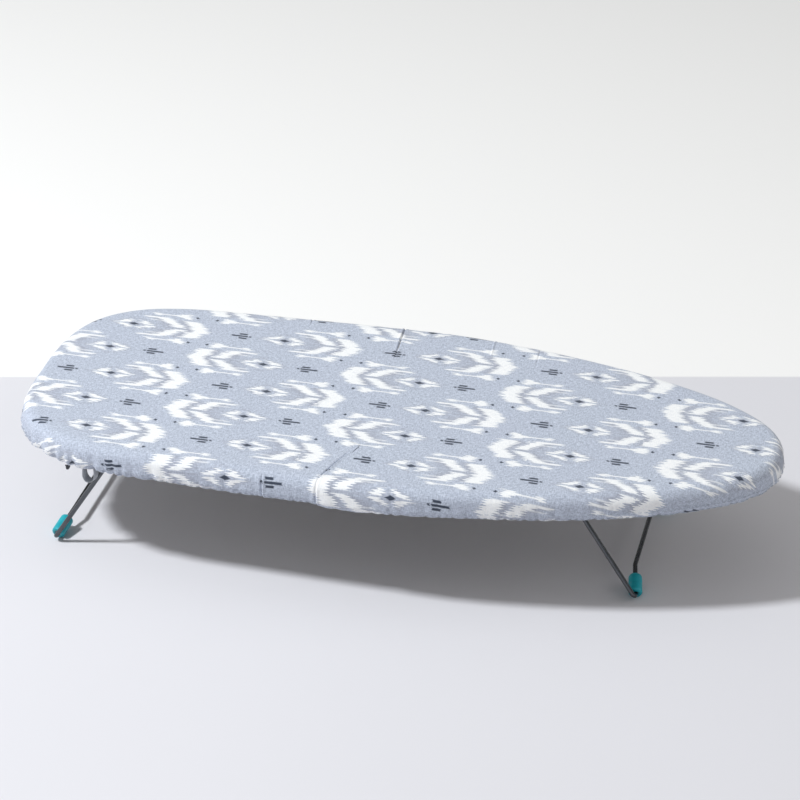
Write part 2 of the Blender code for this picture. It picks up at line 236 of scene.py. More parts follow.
def ikat_motif(u, even, w):
    """(white, dark, shade) masks of one leaf motif, in repeats. u runs along it with toothed edges, even runs
    along it almost without them, and w is the distance from its axis."""
    soft, aside = PRINT_EDGE, 0.012
    tip, slope = w * 0.42, w * 0.70
    first_leaf = u.above(tip + 0.425, soft).both(u.below(tip + 0.53, soft), w.below(0.165, aside))
    leaf_width = w.within(0.018, 0.192, aside)
    second_leaf = u.above(slope + 0.562, soft).both(u.below(slope + 0.648, soft), leaf_width)
    tail = u.within(0.74, 0.856, soft).both(w.within(0.166, 0.192, aside))
    twig = u.within(0.71, 0.83, soft).both(w.within(0.118, 0.135, aside)) * 0.55
    across = abs(u - 0.912)
    ring = across / 0.146 + w / 0.114
    petals = ring.within(0.53, 1.0, 0.06).both(across.above(0.028, 0.008), w.above(0.009, 0.006))
    off = abs(w - 0.25)
    sprig = u.above(0.562, soft).both((u + off * 1.5).below(0.668, soft), off.below(0.052, aside))
    stalk = u.within(0.640, 0.77, soft).both(off.below(0.008, 0.008)) * 0.85
    bud = u.within(0.762, 0.806, soft).both(off.below(0.022, aside))
    white = first_leaf.either(second_leaf, tail, twig, petals, sprig, stalk, bud)
    dark = dark_marks(even, w, off)
    vein = u.within(0.535, 0.76, 0.03).both(w.below(0.011, aside))
    lee = u.above(tip + 0.53, soft).both(u.below(tip + 0.565, 0.03), w.below(0.17, 0.02))
    lee_two = u.above(slope + 0.648, soft).both(u.below(slope + 0.70, 0.04), w.within(0.02, 0.20, 0.02))
    heart = ring.below(0.62, 0.12)
    leaf_shade = u.within(0.56, 0.80, 0.06).both(w.within(0.03, 0.15, 0.03)) * 0.28
    halo = ring.within(0.98, 1.22, 0.10) * 0.35
    shade = (vein * 0.6).either(lee * 0.7, lee_two * 0.6, heart * 0.25, leaf_shade, halo)
    return white, dark, shade


def dark_marks(even, w, off):
    """The slate marks of one motif: the flower's eye, the dots beside the leaves, and the dashes."""
    soft = 0.008
    eye = (abs(even - 0.918) / 0.034 + w / 0.027).below(1.0, 0.4)
    dot = (abs(even - 0.523) / 0.013 + off / 0.020).below(1.0, 0.4)
    long_dash = even.within(1.160, 1.268, soft).both(w.below(0.0130, soft))
    short_dash = even.within(1.165, 1.217, soft).both(abs(w - 0.040).below(0.0135, soft))
    end_dot = even.within(1.136, 1.152, soft).both(w.below(0.012, soft))
    return eye.either(dot, long_dash, short_dash, end_dot)


def yarn_teeth(look, u, v):
    """How far each bundle of yarns shifts the print along the top, which gives toothed edges."""
    bundle = v / YARN_BUNDLE
    chance = look.tree.nodes.new("ShaderNodeTexWhiteNoise")
    chance.noise_dimensions = "2D"
    cell = look.new("ShaderNodeCombineXYZ", X=bundle.op("FLOOR"), Y=(u * 1.5).op("FLOOR"))
    feed(chance.inputs["Vector"], cell.outputs[0])
    tooth = abs(bundle.op("FRACT") - 0.5)
    jag = tooth * 0.074 - 0.017 + (Num(chance.outputs["Value"]) - 0.5) * 0.034
    fine = look.noise(look.stretched((40, 900, 1), "UV"), 1.0, 1.0) - 0.5
    return jag + fine * 0.026


def print_masks(look, x, y):
    """The (white, dark, shade) masks of the whole print, where the motifs of each second row point back."""
    u = (x - TAIL_X + y * PRINT_SKEW) / REPEAT[0] + PRINT_START[0]
    v = (y / REPEAT[1]).flip(PRINT_START[1])
    jag = yarn_teeth(look, u, v)
    masks = []
    for along, across in ((u, v), (u.flip(MIRROR[0]), v.flip(MIRROR[1]))):
        toothed = (along + jag - CELL_START).op("FRACT") + CELL_START
        even = (along + jag * 0.15 - CELL_START).op("FRACT") + CELL_START
        masks.append(ikat_motif(toothed, even, abs(across.op("FRACT") - 0.5)))
    return (first.either(second) for first, second in zip(*masks))


def cotton_print():
    """Grey-blue cotton with a woven leaf-and-flower print in white and slate."""
    look = Look("printed_cotton", 0.88).set(Sheen_Weight=0.25, Sheen_Roughness=0.5, Specular_IOR_Level=0.25)
    x, y = look.x_and_y("UV")
    white, dark, shade = print_masks(look, x, y)
    streak = look.noise(look.stretched((60, 1100, 1), "UV"), 1.0, 2.0)
    warp = look.noise(look.stretched((240, 1000, 1), "UV"), 1.0, 1.0, 0.7)
    weft = look.noise(look.stretched((900, 260, 1), "UV"), 1.0, 1.0, 0.7)
    speckle = (warp + weft) * 0.5
    grain = (speckle - 0.5).op("MULTIPLY_ADD", 3.6, 0.5, clamp=True)
    cloud = look.noise(look.coordinates("UV"), 14.0, 2.0)
    ground = look.mix(grain, linear(158, 167, 182), linear(212, 220, 235))
    ground = look.mix(cloud * 0.30, ground, linear(184, 187, 208))
    shaded = look.mix(shade * (streak * 1.5), ground, linear(150, 151, 164))
    white_yarn = look.mix(grain, linear(240, 242, 245), linear(255, 255, 255))
    whitened = look.mix(white * (streak.above(0.22, 0.30)), shaded, white_yarn)
    look.color(look.mix(dark * (streak.above(0.20, 0.35)), whitened, linear(62, 70, 86)))
    weave = weave_height(x, y, 0.55 * MM)
    slub = look.noise(look.stretched((260, 700, 1), "UV"), 1.0, 3.0, 0.6)
    look.bump((weave, 0.10 * MM, 0.5), (slub, 0.6 * MM, 0.7), (speckle, 0.6 * MM, 0.7))
    return look.rough(0.80, 0.95, slub)


def weave_height(x, y, pitch):
    """The height of a plain weave of crossing threads."""
    warp = (x * (2 * math.pi / pitch)).op("SINE")
    weft = (y * (2 * math.pi / pitch)).op("SINE")
    return (warp * weft) * 0.5 + 0.5


def felt(name, light, dark):
    look = Look(name, 0.97).set(Sheen_Weight=0.3, Sheen_Roughness=0.6, Specular_IOR_Level=0.15)
    fibres = look.noise(look.stretched((500, 160, 300)), 1.0, 4.0, 0.7)
    lumps = look.noise(look.coordinates(), 90.0, 3.0, 0.6)
    look.color(look.mix(fibres * 0.6 + lumps * 0.4, dark, light))
    return look.bump((lumps, 1.2 * MM, 0.6), (fibres, 0.5 * MM, 0.7))


def zinc(name, tint, low, high):
    """Zinc on steel: faint spangle, a thin haze and fine grain, with roughness from low to high."""
    look = Look(name, 0.35, 1.0)
    spangle = look.new("ShaderNodeTexVoronoi", Vector=look.coordinates(), Scale=420.0)
    flake = Num(look.new("ShaderNodeSeparateColor", Color=spangle.outputs["Color"]).outputs[0])
    haze = look.noise(look.coordinates(), 55.0, 4.0, 0.65)
    grain = look.noise(look.stretched((60, 60, 60)), 20.0, 3.0, 0.6)
    dark = tuple(c * 0.62 for c in tint[:3]) + (1.0,)
    look.color(look.mix(haze * 0.7 + flake * 0.2, tint, dark))
    look.rough(low, high, grain * 0.6 + haze * 0.4)
    return look.bump((grain, 0.06 * MM, 0.35), (flake, 0.03 * MM, 0.2))


def drawn_wire():
    """Plated wire with draw lines along it, its grey darkened by painted shade. Its UV runs along the wire
    and round it.
    """
    look = Look("plated_wire", 0.3, 1.0)
    lines = look.noise(look.stretched((30, 40, 1), "UV"), 1.0, 3.0, 0.6)
    haze = look.noise(look.coordinates(), 70.0, 3.0, 0.6)
    # Partly the wire's own dark grey, partly painted shade: both colours are much darker than plated steel,
    # to stand in for the board's shadow on the legs.
    look.color(look.mix(haze * 0.6 + lines * 0.4, linear(118, 120, 124), linear(58, 60, 64)))
    look.rough(0.14, 0.38, lines * 0.6 + haze * 0.4)
    return look.bump((lines, 0.08 * MM, 0.4))


def sleeve_plastic():
    look = Look("teal_plastic", 0.38).set(Coat_Weight=0.08, Coat_Roughness=0.2)
    grain = look.noise(look.coordinates(), 900.0, 2.0, 0.5)
    cloud = look.noise(look.coordinates(), 60.0, 2.0)
    worn = look.noise(look.stretched((160, 160, 420)), 1.0, 3.0)
    look.color(look.mix(cloud * 0.5 + worn * 0.3, linear(20, 178, 192), linear(8, 148, 164)))
    look.rough(0.30, 0.50, worn)
    return look.bump((grain, 0.05 * MM, 0.5), (worn, 0.10 * MM, 0.25))


def rim_paint():
    look = Look("rim_powder_coat", 0.45)
    peel = look.noise(look.coordinates(), 650.0, 2.0, 0.5)
    cloud = look.noise(look.coordinates(), 25.0, 3.0)
    look.color(look.mix(cloud, linear(206, 208, 210), linear(186, 188, 192)))
    look.rough(0.38, 0.55, cloud)
    return look.bump((peel, 0.12 * MM, 0.5))


def tape(name, light, dark, pitch):
    """Ribbed tape, cord or thread. Its ribs follow the UV, and a piece without one shows only the fuzz."""
    look = Look(name, 0.9).set(Sheen_Weight=0.2, Specular_IOR_Level=0.2)
    x, y = look.x_and_y("UV")
    ribs = weave_height(x + y, y - x, pitch)
    fuzz = look.noise(look.coordinates(), 700.0, 3.0, 0.6)
    look.color(look.mix(ribs * 0.6 + fuzz * 0.4, dark, light))
    return look.bump((ribs, 0.25 * MM, 0.7), (fuzz, 0.1 * MM, 0.5))


# ---- mesh tools


def new_object(name, data):
    made = bpy.data.objects.new(name, data)
    bpy.context.scene.collection.objects.link(made)
    return made


def new_mesh(name, bm, look):
    mesh = bpy.data.meshes.new(name)
    bm.to_mesh(mesh)
    bm.free()
    mesh.materials.append(look.material)
    return new_object(name, mesh)


def add(name, bm, look, replaces=(), body="board", smooth=True):
    """Makes the piece of a bmesh, on its body, standing for its CAD nodes."""
    piece = new_mesh(name, bm, look)
    for face in piece.data.polygons:
        face.use_smooth = smooth
    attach(piece, body)
    if replaces:
        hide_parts(*replaces)
    return piece


def bridge(bm, first, second):
    faces = []
    for k in range(len(first)):
        m = (k + 1) % len(first)
        faces.append(bm.faces.new((first[k], first[m], second[m], second[k])))
    return faces


def round_ring(bm, centre, across, upright, radius, sides):
    directions = [across * math.cos(t) + upright * math.sin(t) for t in circle(sides)]
    return [bm.verts.new(centre + direction * radius) for direction in directions]


def skin(bm, rings):
    """Bridges a row of rings."""
    return [face for first, second in zip(rings, rings[1:]) for face in bridge(bm, first, second)]


def cap(bm, rings):
    """Closes the two ends of a row of rings."""
    return [bm.faces.new(rings[0]), bm.faces.new(list(reversed(rings[-1])))]


def runs(points):
    """How far along a polyline each of its points is."""
    run = [0.0]
    for a, b in zip(points, points[1:]):
        run.append(run[-1] + (b - a).length)
    return run


FACE_CORNERS = ((0, 0), (0, 1), (1, 1), (1, 0))


def unwrap(faces, layer, along, around):
    """Writes the UV of the faces that bridge two rings: along holds the rings' places, around the points'."""
    for m, face in enumerate(faces):
        for loop, (step, side) in zip(face.loops, FACE_CORNERS):
            loop[layer].uv = (along[step], around[m + side])


def circle(count):
    return [2 * math.pi * k / count for k in range(count)]


def outward(bm):
    bmesh.ops.recalc_face_normals(bm, faces=bm.faces)
    if bm.calc_volume(signed=True) < 0:
        bmesh.ops.reverse_faces(bm, faces=bm.faces)
    return bm


def half_width(x):
    """The outline's half width at x from the wide end."""
    rise = min(x / WIDEST_AT, 1.0)
    base = TAIL_HALF_WIDTH + (HALF_WIDTH - TAIL_HALF_WIDTH) * rise * rise * (3.0 - 2.0 * rise)
    tail = max(0.0, 1.0 - x / TAIL_CORNER_LENGTH) ** TAIL_CORNER_POWERS[0]
    nose = max(0.0, (x - (LENGTH - NOSE_LENGTH)) / NOSE_LENGTH) ** NOSE_POWERS[0]
    base *= max(0.0, 1.0 - tail) ** (1.0 / TAIL_CORNER_POWERS[1])
    return base * max(0.0, 1.0 - nose) ** (1.0 / NOSE_POWERS[1])


class Outline:
    """The top's outline as a walk round it, from the middle of the wide end along the near side."""

    def __init__(self, steps=1500):
        side = []
        for k in range(steps + 1):
            x = LENGTH * (0.5 - 0.5 * math.cos(math.pi * k / steps))
            side.append(Vector((TAIL_X + x, half_width(x))))
        self.points = [Vector((p.x, -p.y)) for p in side] + side[-2:0:-1]
        self.points.append(self.points[0])
        self.at = runs(self.points)
        self.length = self.at[-1]

    def point(self, s):
        s %= self.length
        low, high = 0, len(self.at) - 1
        while high - low > 1:
            middle = (low + high) // 2
            low, high = (middle, high) if self.at[middle] <= s else (low, middle)
        share = (s - self.at[low]) / max(self.at[high] - self.at[low], 1e-12)
        return self.points[low].lerp(self.points[high], share)

    def normal(self, s, reach=3 * MM):
        along = self.point(s + reach) - self.point(s - reach)
        return Vector((along.y, -along.x)).normalized()

    def inside(self, s, inset):
        """The place at s, moved in from the outline."""
        return self.point(s) - self.normal(s) * inset

    def stations(self, count):
        """Evenly spaced places round the whole walk."""
        return [self.length * k / count for k in range(count)]

    def bend(self, s, reach=22 * MM):
        """How sharply the outline turns at s, from 0 on a straight side to 1 at the corners and the nose."""
        turn = self.normal(s - reach).angle(self.normal(s + reach))
        return min(1.0, turn / 0.38)

    def place(self, x, side):
        """Where the walk passes x, on the near (-1) or the far (1) side."""
        low, high = 0.0, self.length / 2
        for _ in range(50):
            middle = (low + high) / 2
            low, high = (middle, high) if self.point(middle).x < x else (low, middle)
        return low if side < 0 else self.length - low


OUTLINE = Outline()

# The gathered hem: its pleats' spacing and height, and how strongly it is gathered.
PLEAT_PITCH = 13 * MM
PUFF = 5.2 * MM
GATHER_ALL_ROUND = 0.22
GATHER_AT_CORNERS = 1.05
GATHER_AT_NOSE = 0.30

# The near hem's loose stretch: where it starts, how soon it comes up and how slowly it fades.
FLARE_START = OUTLINE.place(-42 * MM, -1)
FLARE_LEAD = 6 * MM
FLARE_RISE = 9 * MM
FLARE_FADE = 75 * MM


def wave(s, size, seed):
    """Smooth noise along the closed walk, roughly from -1 to 1, in waves of the given size."""
    turn = 2 * math.pi * s / OUTLINE.length
    radius = OUTLINE.length / (2 * math.pi * size)
    return noise.noise(Vector((radius * math.cos(turn), radius * math.sin(turn), seed * 7.31)))


def gathers(s):
    """Pleats of the gathered hem: rounded puffs with sharp valleys, unevenly spaced."""
    count = round(OUTLINE.length / PLEAT_PITCH)
    t = s / OUTLINE.length * count + 2.4 * wave(s, 45 * MM, 3)
    puff = 2 * abs(math.sin(math.pi * t)) ** 0.6 - 1
    return (0.75 + 0.6 * wave(s, 24 * MM, 5)) * puff + 0.35 * wave(s, 6 * MM, 8)


def gather_share(s):
    """How strongly the hem is gathered at s: most at the wide end's corners, then at the nose."""
    at_bends = GATHER_AT_CORNERS if OUTLINE.point(s).x < 0 else GATHER_AT_NOSE
    return GATHER_ALL_ROUND + at_bends * OUTLINE.bend(s)


def hem_droop(s):
    """How far the hem hangs above or below its level at s."""
    return 1.7 * MM * wave(s, 75 * MM, 4) + 0.8 * MM * wave(s, 22 * MM, 6) - 3.0 * MM * flare(s)


def flare(s):
    """Where the near hem stands loose and low, from a packing crease towards the nose."""
    after = s - FLARE_START
    if after < -FLARE_LEAD:
        return 0.0
    return min(1.0, (after + FLARE_LEAD) / FLARE_RISE) * math.exp(-((max(0.0, after) / FLARE_FADE) ** 2))


# ---- the cover

# Packing creases: x, side, reach in from the edge, drift of the inner end, reach down the rim, depth.
CREASES = (
    (-34 * MM, 1, 76 * MM, 5 * MM, 0.9, 1.7 * MM),
    (-130 * MM, 1, 20 * MM, 2 * MM, 0.9, 1.0 * MM),
    (61 * MM, 1, 46 * MM, 3 * MM, 0.6, -0.7 * MM),
    (109 * MM, 1, 52 * MM, 3 * MM, 0.6, 0.5 * MM),
    (-97 * MM, -1, 4 * MM, 0.0, 1.0, 1.3 * MM),
    (-45 * MM, -1, 74 * MM, 22 * MM, 1.0, 1.2 * MM),
)
CREASE_PLACES = [(OUTLINE.place(x, side), rest) for x, side, *rest in CREASES]
CREASE_REACH = 30 * MM
# The columns of points beside a crease, in millimetres from it.
CREASE_STEPS = (-4.5, -3, -2, -1.3, -0.8, -0.4, 0, 0.4, 0.8, 1.3, 2, 3, 4.5)
COLUMN_STEP = 2.3 * MM
COLUMN_GAP = 1.2 * MM
# The top's rings of points shrink from the edge to the spine, a line between these two x.
SPINE = (-215 * MM, 110 * MM)
TOP_RINGS = 30
INNERMOST = 0.03
# How far the taut top lies below the CAD's, the hem's fold, and the cloth's thickness.
TOP_SINK = 0.3 * MM
FOLD_RADIUS = 8 * MM
FOLD_DROP = 7.4 * MM
CLOTH = 0.7 * MM


class Column:
    """One column of the cover's points, at s round the outline."""

    def __init__(self, s):
        self.base = OUTLINE.point(s)
        self.normal = OUTLINE.normal(s)
        self.edge = self.base - self.normal * RIM_ROUNDING
        self.spine = nearest_on_spine(self.edge)
        self.gather = gathers(s) * gather_share(s)
        self.swell = 0.25 * MM * wave(s, 30 * MM, 2) + 1.0 * MM * flare(s)
        self.droop = hem_droop(s)
        self.creases = [(s - at, *rest) for at, rest in CREASE_PLACES if abs(s - at) < CREASE_REACH]


def nearest_on_spine(p):
    return Vector((min(max(p.x, SPINE[0]), SPINE[1]), 0.0))


def column_places():
    """Where round the outline the cover's columns of points stand, closer together at each crease."""
    close = [place + step * MM for place, _ in CREASE_PLACES for step in CREASE_STEPS]
    even = OUTLINE.stations(round(OUTLINE.length / COLUMN_STEP))
    return sorted(close + [s for s in even if all(abs(s - c) > COLUMN_GAP for c in close)])


def crease(column, inward, down):
    """(height, drift along x) of the creases at a place of the column, inward from the edge and down the rim.
    Each crease is a narrow groove with a ridge beside it and a fainter one on its other side."""
    height, drift = 0.0, 0.0
    for offset, reach, lean, low, depth in column.creases:
        c = offset / MM
        shape = -math.exp(-((c / 0.75) ** 2)) + 0.6 * math.exp(-(((c - 1.7) / 1.1) ** 2))
        shape += 0.25 * math.exp(-(((c + 2.4) / 1.5) ** 2))
        fade = min(1.0, max(0.0, (reach - inward) / (reach * 0.45)))
        fade *= min(1.0, max(0.0, (low + 0.1 - down) / 0.1))
        height += depth * shape * fade
        if inward < reach:
            drift += lean * (inward / reach) ** 1.3 * math.exp(-((offset / (14 * MM)) ** 2))
    return height, drift


def rim_profile():
    """The cover's section below the flat top: (inset, z) from the start of the rounding to the hem's end."""
    r = RIM_ROUNDING
    turns = [math.radians(90 * k / 7) for k in range(8)]
    section = [Vector((r * (1 - math.sin(a)), TOP_Z - r * (1 - math.cos(a)))) for a in turns]
    low = HEM_Z + FOLD_RADIUS
    section += [Vector((0, TOP_Z - r + (low - TOP_Z + r) * k / 4)) for k in range(1, 4)]
    section += [Vector((FOLD_RADIUS * (1 - math.cos(a)), low - FOLD_DROP * math.sin(a))) for a in turns]
    section += [Vector((x * MM, HEM_Z + z * MM)) for x, z in ((10, 0.4), (12, 0.5), (13, 1.0), (13.3, 1.9))]
    return section


def make_cover(look):
    """The fabric cover: a taut top, a rounded rim and a gathered hem, with flat-cut coordinates in its UV.
    Also gives how far the cut reaches past the outline."""
    columns = [Column(s) for s in column_places()]
    section = rim_profile()
    lengths = runs(section)
    bm = bmesh.new()
    layer = bm.loops.layers.uv.new("flat")
    flat = {}
    rings = []
    for j in range(TOP_RINGS):
        share = INNERMOST + (1 - INNERMOST) * (j / TOP_RINGS) ** 0.85
        rings.append([top_point(bm, column, share, flat) for column in columns])
    for at, length in zip(section, lengths):
        down = length / lengths[-1]
        rings.append([rim_point(bm, column, at, length, down, flat) for column in columns])
    skin(bm, rings)
    middle = bm.faces.new(rings[0])
    bmesh.ops.triangulate(bm, faces=[middle])
    bmesh.ops.recalc_face_normals(bm, faces=bm.faces)
    top = max(bm.faces, key=lambda f: f.calc_center_median().z)
    if top.normal.z < 0:
        bmesh.ops.reverse_faces(bm, faces=bm.faces)
    for face in bm.faces:
        for loop in face.loops:
            loop[layer].uv = flat[loop.vert]
    wrap = lengths[-1] - RIM_ROUNDING
    cover = add("cover_cloth", bm, look, replaces=["fabric_cover"])
    thick = cover.modifiers.new("thickness", "SOLIDIFY")
    thick.thickness = CLOTH
    thick.offset = -1.0
    return cover, wrap


def top_point(bm, column, share, flat):
    """A point of the flat top, between the spine and the start of the rim's rounding."""
    p = column.spine.lerp(column.edge, share)
    inward = (column.edge - p).length + RIM_ROUNDING
    height, drift = crease(column, inward, 0.0)
    p.x += drift
    ripple = 0.45 * MM * column.gather * math.exp(-inward / (16 * MM))
    sway = 0.35 * MM * noise.noise(Vector((p.x * 9, p.y * 9, 2.0)))
    sway += 0.22 * MM * noise.noise(Vector((p.x * 28, p.y * 28, 5.0)))
    vert = bm.verts.new((p.x, p.y, TOP_Z - TOP_SINK + height + ripple + sway))
    flat[vert] = (p.x, p.y)
    return vert


def rim_point(bm, column, at, length, down, flat):
    """A point of the rim, at a place on its section."""
    height, drift = crease(column, max(0.0, at.x) if down < 0.4 else 0.0, down)
    loose = max(0.0, (down - 0.25) / 0.75)
    swell = PUFF * column.gather * loose ** 0.9 + column.swell + height
    swell -= 0.45 * MM * math.exp(-(((down - 0.66) / 0.018) ** 2))  # the seam pulls the cloth in
    p = column.base - column.normal * (at.x - swell * outward_share(down))
    p.x += drift * (1 - down)
    z = at.y - TOP_SINK * (1 - down) + column.droop * loose ** 2 + swell * upward_share(down)
    vert = bm.verts.new((p.x, p.y, z))
    spread = column.base + column.normal * (length - RIM_ROUNDING)
    flat[vert] = (spread.x, spread.y)
    return vert


def outward_share(down):
    """How much of a swelling pushes outwards at this share of the way down the rim."""
    return min(1.0, down / 0.25) if down < 0.8 else max(0.25, 1 - (down - 0.8) / 0.25)


def upward_share(down):
    """How much of it pushes upwards: all at the top, none down the side, and less than none at the fold."""
    return max(0.0, 1 - down / 0.25) if down < 0.5 else -0.6 * max(0.0, (down - 0.55) / 0.45)


def cut_area(wrap):
    """The area of the flat cut: the outline grown by what wraps over the rim."""
    grown = [OUTLINE.inside(s, -wrap) for s in OUTLINE.stations(720)]
    return abs(sum(a.x * b.y - b.x * a.y for a, b in zip(grown, grown[1:] + grown[:1]))) / 2


def sweep_round(section, count, jitter=None):
    """A closed ring body: a closed (inset, z) section swept round the outline, with UVs in metres."""
    bm = bmesh.new()
    layer = bm.loops.layers.uv.new("along")
    rings = []
    for s in OUTLINE.stations(count):
        base, normal = OUTLINE.point(s), OUTLINE.normal(s)
        push = jitter(s) if jitter else Vector((0, 0))
        rings.append([bm.verts.new((*(base - normal * (p.x + push.x)), p.y + push.y)) for p in section])
    around = runs(section + section[:1])
    for k in range(count):
        along = [OUTLINE.length * (k + step) / count for step in (0, 1)]
        unwrap(bridge(bm, rings[k], rings[(k + 1) % count]), layer, along, around)
    return outward(bm)


def rounded_box_section(inset, z, width, height, corner=0.35 * MM):
    points = []
    for cx, cy, start in ((1, 1, 0), (-1, 1, 90), (-1, -1, 180), (1, -1, 270)):
        for k in range(3):
            turn = math.radians(start + 45 * k)
            x = inset + cx * (width / 2 - corner) + corner * math.cos(turn)
            points.append(Vector((x, z + cy * (height / 2 - corner) + corner * math.sin(turn))))
    return points


def hem_jitter(s):
    """How the hem's gathers push the elastic band, as (inset, height)."""
    loose = 1.2 * MM * gathers(s) * gather_share(s)
    return Vector((-0.25 * loose, hem_droop(s) - 0.4 * loose))


def make_elastic(look):
    inset, rise, width, thickness = 15 * MM, 1.4 * MM, 3.4 * MM, 1.5 * MM
    band = sweep_round(rounded_box_section(inset, HEM_Z + rise, width, thickness), 640, hem_jitter)
    add("hem_elastic_band", band, look, replaces=["hem_elastic"])


def make_rim_tube(look):
    low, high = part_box("rim_tube")
    inset, radius = 9.3 * MM, 8 * MM
    z = (low.z + high.z) / 2
    section = [Vector((inset + radius * math.cos(t), z + radius * math.sin(t))) for t in circle(20)]
    add("rim_tube_round", sweep_round(section, 360), look, replaces=["rim_tube"])


# The rings of the pad's faces, in millimetres on a way of 110 from the edge to the spine.
PAD_INSETS = (20, 34, 52, 74, 100)
PAD_SPAN = 110
PAD_COLUMNS = 420


def make_pad(look):
    """The felt pad: rounded along its edge and slightly lumpy on both faces."""
    low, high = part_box("foam_pad")
    bm = bmesh.new()
    side = [(2.6, low.z), (2.5, low.z + 0.6 * MM), (3.0, low.z + 2.6 * MM), (4.6, high.z - 2.6 * MM)]
    side += [(7.4, high.z - 1.0 * MM), (11.5, high.z - 0.2 * MM)]
    rings = [pad_face_ring(bm, inset, low.z - 0.1 * MM, -1) for inset in reversed(PAD_INSETS)]
    places = OUTLINE.stations(PAD_COLUMNS)
    for inset, z in side:
        rings.append([bm.verts.new((*OUTLINE.inside(s, inset * MM), z)) for s in places])
    rings += [pad_face_ring(bm, inset, high.z, 1) for inset in PAD_INSETS]
    skin(bm, rings)
    bmesh.ops.triangulate(bm, faces=cap(bm, rings))
    pad = add("pad_felt", outward(bm), look, replaces=["foam_pad"])


def pad_face_ring(bm, inset, z, side):
    """A ring of the pad's face, drawn towards the spine in place of a plain inset."""
    ring = []
    for s in OUTLINE.stations(PAD_COLUMNS):
        edge = OUTLINE.inside(s, RIM_ROUNDING)
        p = edge.lerp(nearest_on_spine(edge), min(0.95, inset / PAD_SPAN))
        lump = 0.25 * MM * noise.noise(Vector((p.x * 40, p.y * 40, 3.0 * side)))
        ring.append(bm.verts.new((p.x, p.y, z + lump)))
    return ring


# ---- the steel deck

# A diamond's length and width, a strand's width, and the border's outer and inner edge, in from the outline.
DIAMOND = (17 * MM, 8.5 * MM)
STRAND = 1.15 * MM
BORDER_OUTER = 2.4 * MM
BORDER_INNER = 23 * MM
MESH_INSET = BORDER_INNER - 9 * MM


def inside_inset(p, margin):
    """Whether p lies inside the outline by more than the margin."""
    x = p.x - TAIL_X
    if not 0 < x < LENGTH:
        return False
    step = 2 * MM
    slope = (half_width(min(x + step, LENGTH)) - half_width(max(x - step, 0))) / (2 * step)
    gap = (half_width(x) - abs(p.y)) / math.hypot(1, slope)
    return gap > margin and x > margin and LENGTH - x > margin


def make_deck(look):
    """Expanded steel mesh: diamonds of tilted strands, and a flat border with a lip at its inner edge."""
    low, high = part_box("top_mesh")
    bm = bmesh.new()
    columns = int(LENGTH / DIAMOND[0]) + 2
    rows = int(HALF_WIDTH / DIAMOND[1]) + 2
    for row in range(-2 * rows, 2 * rows + 1):
        for column in range(-columns, columns + 1):
            x = (column + 0.5 * (row % 2)) * DIAMOND[0]
            y = row * DIAMOND[1] / 2
            node = Vector((x, y))
            if not inside_inset(node, MESH_INSET):
                continue
            for across in (-1, 1):
                end = node + Vector((DIAMOND[0] / 2, across * DIAMOND[1] / 2))
                if inside_inset(end, MESH_INSET):
                    strand(bm, node, end, across, low.z, high.z)
    bmesh.ops.recalc_face_normals(bm, faces=bm.faces)
    add("deck_mesh", bm, look, replaces=["top_mesh"], smooth=False)
    lip = low.z - 1.2 * MM
    section = [(BORDER_OUTER, low.z), (BORDER_OUTER, high.z), (BORDER_INNER - 0.4 * MM, high.z)]
    section += [(BORDER_INNER, high.z - 0.4 * MM), (BORDER_INNER, lip), (BORDER_INNER - 0.9 * MM, lip)]
    section += [(BORDER_INNER - 1.1 * MM, low.z)]
    add("deck_border", sweep_round([Vector(p) for p in section], 300), look)


def strand(bm, start, end, across, low, high):
    """One strand of the mesh: a thin tilted strip that laps over its neighbours at the knots."""
    along = (end - start).normalized()
    aside = Vector((-along.y, along.x)) * STRAND / 2
    tilt = 0.28 * MM * across
    corners = []
    for p in (start - along * 0.4 * MM, end + along * 0.4 * MM):
        for side, z in ((-1, low + 0.1 * MM), (1, low + 0.1 * MM), (1, high), (-1, high)):
            q = p + aside * side
            corners.append(bm.verts.new((q.x, q.y, min(high, max(low - 0.3 * MM, z + tilt * side)))))
    for face in ((0, 1, 2, 3), (7, 6, 5, 4), (0, 4, 5, 1), (1, 5, 6, 2), (2, 6, 7, 3), (3, 7, 4, 0)):
        bm.faces.new([corners[k] for k in face])


# ---- legs


def leg_down(leg):
    """The direction of a leg's uprights."""
    return Vector((leg["outboard"] * math.sin(LEAN), 0, -math.cos(LEAN)))


def leg_normal(leg):
    """The direction square to the plane of a leg's wire."""
    return leg_down(leg).cross(Vector((0, 1, 0))).normalized()


def leg_corners(leg):
    """The corners of a leg's wire, from the near stub to the far one."""
    pivot, down = Vector((leg["pivot_x"], 0, PIVOT_Z)), leg_down(leg)
    spread = leg["spread"]
    half = [(spread - STUB_END_INSET, 0), (spread, 0), (spread, LEG_REACH)]
    half += [(spread - FOOT_RUN, LEG_REACH - FOOT_RISE)]
    near = [pivot + down * s + Vector((0, -y, 0)) for y, s in half]
    far = [pivot + down * s + Vector((0, y, 0)) for y, s in reversed(half)]
    return near + far


def rounded_path(corners, bends, steps):
    """The polyline through the corners, with each inner one replaced by an arc of its bend radius."""
    path = [corners[0]]
    for k in range(1, len(corners) - 1):
        before = (corners[k - 1] - corners[k]).normalized()
        after = (corners[k + 1] - corners[k]).normalized()
        half = before.angle(after) / 2
        centre = corners[k] + (before + after).normalized() * bends[k - 1] / math.sin(half)
        reach = bends[k - 1] / math.tan(half)
        first = corners[k] + before * reach - centre
        last = corners[k] + after * reach - centre
        for j in range(steps + 1):
            path.append(centre + first.normalized().slerp(last.normalized(), j / steps) * first.length)
    path.append(corners[-1])
    return path


